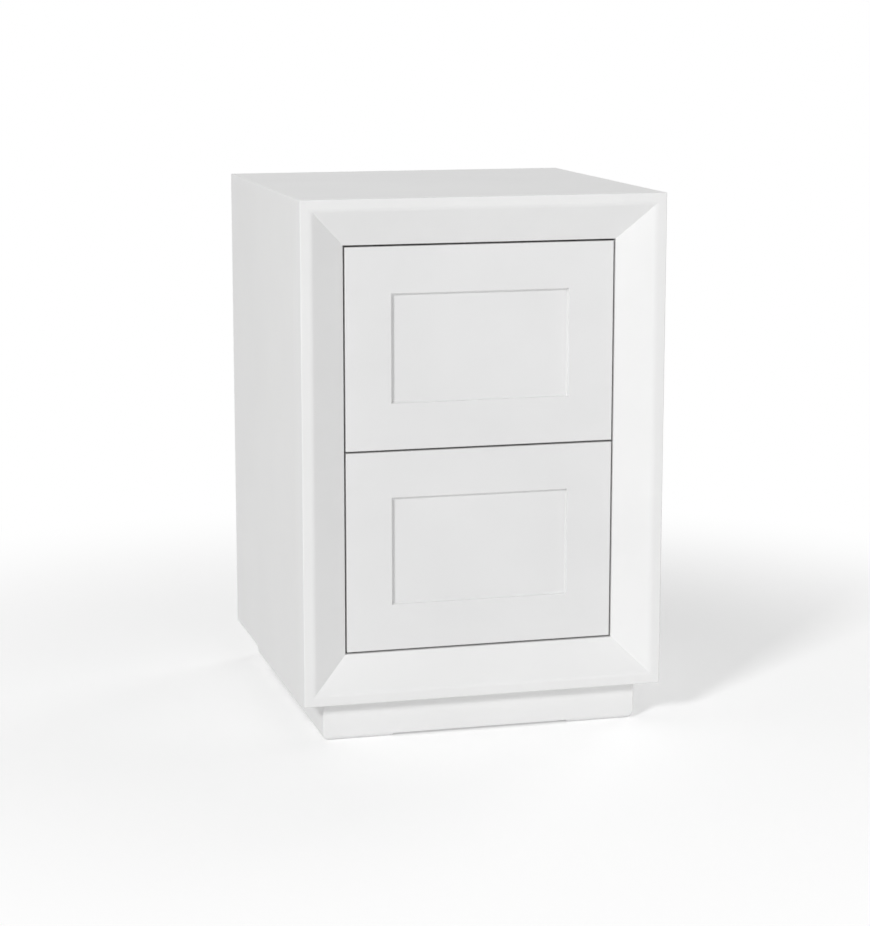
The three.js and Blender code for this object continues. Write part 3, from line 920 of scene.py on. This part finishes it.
def seen_directly(tree):
    """1 for what the camera sees, straight or in metal or glass, and 0 for the light on the object."""
    path = add(tree, "LightPath")
    either = add(tree, "Math", {0: path.outputs["Is Camera Ray"], 1: path.outputs["Is Glossy Ray"]},
                 operation="MAXIMUM")
    return add(tree, "Math", {0: either.outputs[0], 1: path.outputs["Is Transmission Ray"]},
               operation="MAXIMUM").outputs[0]


# The floor is lifted to white where it is seen, and runs out into the white surround. Near the cabinet
# it also glows where it isn't seen: painted light, a hidden glow that throws light up onto the cabinet.
floor_lift, floor_glow = 0.27, 0.077
glow_start, glow_end = 0.35, 0.9
run_out_start, run_out_end = 0.45, 1.3
floor_place = add(floor_tree, "TexCoord").outputs["Object"]
from_middle = add(floor_tree, "VectorMath", {0: floor_place}, operation="LENGTH").outputs["Value"]
seen = seen_directly(floor_tree)
glow = add(floor_tree, "MapRange", {
    "Value": from_middle, "From Min": glow_start, "From Max": glow_end,
    "To Min": floor_glow, "To Max": 0.0,
}, interpolation_type="SMOOTHSTEP").outputs["Result"]
lifted = add(floor_tree, "MapRange", {"Value": seen, "To Min": glow, "To Max": floor_lift})
floor_tree.links.new(lifted.outputs["Result"], floor_shader.inputs["Emission Strength"])
floor_shader.inputs["Emission Color"].default_value = (1, 1, 1, 1)
far = add(floor_tree, "MapRange", {
    "Value": from_middle, "From Min": run_out_start, "From Max": run_out_end,
}, interpolation_type="SMOOTHSTEP").outputs["Result"]
runs_out = add(floor_tree, "Math", {0: far, 1: seen}, operation="MULTIPLY").outputs[0]
plain_white = add(floor_tree, "Emission", {"Color": (1, 1, 1, 1), "Strength": 1.0})
floor_surface = add(floor_tree, "MixShader", {
    0: runs_out, 1: floor_shader.outputs[0], 2: plain_white.outputs[0],
})
floor_tree.links.new(floor_surface.outputs[0], floor_tree.nodes["Material Output"].inputs["Surface"])

world = bpy.data.worlds.new("white_studio")
scene.world = world
world.use_nodes = True
world_tree = world.node_tree
world_tree.nodes.clear()
surround = 0.235
dim = add(world_tree, "Background", {"Color": (1, 1, 1, 1), "Strength": surround})
white = add(world_tree, "Background", {"Color": (1, 1, 1, 1), "Strength": 1.0})
either = add(world_tree, "MixShader", {
    0: seen_directly(world_tree), 1: dim.outputs[0], 2: white.outputs[0],
})
add(world_tree, "OutputWorld", {"Surface": either.outputs[0]})

cabinet_middle = Vector((0, 0, frame_middle))
for name, place, size, watts in (
    ("key_lamp", (-4.4, -4.6, 3.3), 1.2, 257),
    ("low_front_right_lamp", (1.6, -2.6, 0.4), 1.4, 16.8),
    ("back_right_lamp", (3.4, 2.6, 1.2), 1.8, 52),
    ("top_lamp", (0.0, 0.0, 3.2), 3.2, 17.5),
):
    lamp_data = bpy.data.lights.new(name, "AREA")
    lamp_data.shape = "SQUARE"
    lamp_data.size = size
    lamp_data.energy = watts
    lamp = bpy.data.objects.new(name, lamp_data)
    lamp.location = place
    lamp.rotation_euler = (cabinet_middle - Vector(place)).to_track_quat("-Z", "Y").to_euler()
    scene.collection.objects.link(lamp)

scene.view_settings.view_transform = "Standard"
